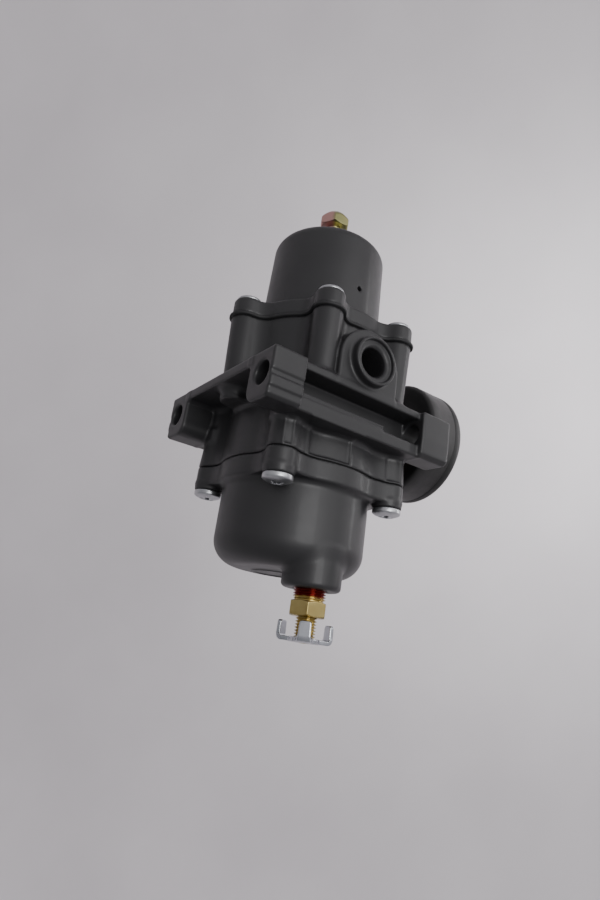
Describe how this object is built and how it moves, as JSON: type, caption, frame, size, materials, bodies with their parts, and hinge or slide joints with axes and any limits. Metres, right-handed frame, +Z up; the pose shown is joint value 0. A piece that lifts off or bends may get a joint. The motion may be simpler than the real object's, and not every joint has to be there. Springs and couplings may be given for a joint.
{
  "type": "air pressure regulator",
  "caption": "Filter regulator: round spring case, bolted lobed flanges, block with side ports and through-bolt lugs, drip well with drain valve, dial gauge.",
  "frame": {"origin": "centre of the rear mounting face, midway between the axes of the two mounting bolt holes", "axes": "+Z up along the regulator's axis, spring case on top and drain below; +Y out of the rear mounting face towards the panel it is bolted to; -X faces out of the inlet port, +X out of the outlet port; the gauge faces -Y"},
  "size_m": [0.084, 0.1118, 0.1937],
  "materials": {
    "paint": "dark grey semi-gloss enamel over a die casting",
    "zinc": "zinc-plated steel",
    "yellow_zinc": "yellow chromate over zinc-plated steel",
    "steel": "plain steel",
    "brass": "machined brass",
    "bronze": "phosphor bronze",
    "chrome": "bright plated stamping",
    "rubber": "black nitrile",
    "black_case": "black satin steel case",
    "black_trim": "black enamel",
    "filter_paper": "cream cellulose",
    "dial_white": "white printed dial",
    "window": "clear window"
  },
  "bodies": {
    "housing": {"regulator_body": "paint", "spring_case": "paint", "drip_well": "paint", "spring_case_screw_1": "zinc", "spring_case_screw_2": "zinc", "spring_case_screw_3": "zinc", "spring_case_screw_4": "zinc", "spring_case_screw_5": "zinc", "spring_case_screw_6": "zinc", "drip_well_screw_1": "zinc", "drip_well_screw_2": "zinc", "drip_well_screw_3": "zinc", "drip_well_screw_4": "zinc", "diaphragm": "rubber", "range_spring": "steel", "valve_cartridge": "brass", "cartridge_o_ring_upper": "rubber", "cartridge_o_ring_lower": "rubber", "valve_spring": "steel", "cartridge_cap": "brass", "filter_gasket": "rubber", "filter_element": "filter_paper", "filter_retainer": "steel", "filter_washer": "zinc", "filter_screw": "zinc", "drip_well_gasket": "rubber", "drain_valve_body": "brass", "gauge_socket": "brass", "gauge_case": "black_case", "gauge_bezel": "black_case", "gauge_window": "window", "gauge_dial": "dial_white", "bourdon_tube": "bronze", "gauge_movement": "brass"},
    "spring_seat": {"upper_spring_seat": "zinc"},
    "adjusting_screw": {"adjusting_screw": "yellow_zinc"},
    "locknut": {"locknut": "yellow_zinc"},
    "diaphragm_assembly": {"pusher_post": "bronze", "diaphragm_plate": "steel", "pusher_post_nut": "steel"},
    "valve_plug": {"valve_plug": "brass"},
    "drain_stem": {"drain_stem": "brass"},
    "drain_handle": {"drain_handle": "chrome"},
    "gauge_pointer": {"gauge_pointer": "black_trim"},
    "gauge_sector": {"gauge_sector": "brass"}
  },
  "joints": [
    {"name": "adjusting_feed", "type": "slide", "parent": "housing", "child": "spring_seat", "axis": [0, 0, -1], "range_m": [-0.00282, 0.00848], "deforming": ["range_spring"]},
    {"name": "adjusting_turn", "type": "hinge", "parent": "spring_seat", "child": "adjusting_screw", "pos_m": [0, -0.0438, 0.1], "axis": [0, 0, -1], "range_deg": [-722, 2168]},
    {"name": "locknut_turn", "type": "hinge", "parent": "housing", "child": "locknut", "pos_m": [0, -0.0438, 0.089], "axis": [0, 0, 1], "range_deg": [0, 90]},
    {"name": "diaphragm_stroke", "type": "slide", "parent": "housing", "child": "diaphragm_assembly", "axis": [0, 0, 1], "range_m": [-0.002, 0], "stiffness_N_per_m": 1200, "springref_m": 0.003, "deforming": ["diaphragm"]},
    {"name": "valve_stroke", "type": "slide", "parent": "housing", "child": "valve_plug", "axis": [0, 0, 1], "range_m": [-0.002, 0], "deforming": ["valve_spring"]},
    {"name": "drain_stem_travel", "type": "slide", "parent": "housing", "child": "drain_stem", "axis": [0, 0, -1], "range_m": [0, 0.00212]},
    {"name": "drain_handle_turn", "type": "hinge", "parent": "drain_stem", "child": "drain_handle", "pos_m": [-0.0182, -0.0438, -0.0842], "axis": [0, 0, -1], "range_deg": [0, 722]},
    {"name": "gauge_pointer_sweep", "type": "hinge", "parent": "housing", "child": "gauge_pointer", "pos_m": [0, -0.1051, 0.0115], "axis": [0, 1, 0], "range_deg": [-2.5, 272.5]},
    {"name": "gauge_sector_swing", "type": "hinge", "parent": "housing", "child": "gauge_sector", "pos_m": [0, -0.1009, -0.0065], "axis": [0, 1, 0], "range_deg": [-54, 0.4], "stiffness_Nm_per_rad": 0.005, "springref_deg": 3.44}
  ],
  "couplings": [
    {"joint": "adjusting_turn", "follows": "adjusting_feed", "rad_per_m": 4453},
    {"joint": "valve_stroke", "follows": "diaphragm_stroke", "ratio": 1},
    {"joint": "drain_handle_turn", "follows": "drain_stem_travel", "rad_per_m": 5927.5},
    {"joint": "gauge_pointer_sweep", "follows": "gauge_sector_swing", "ratio": -5}
  ]
}
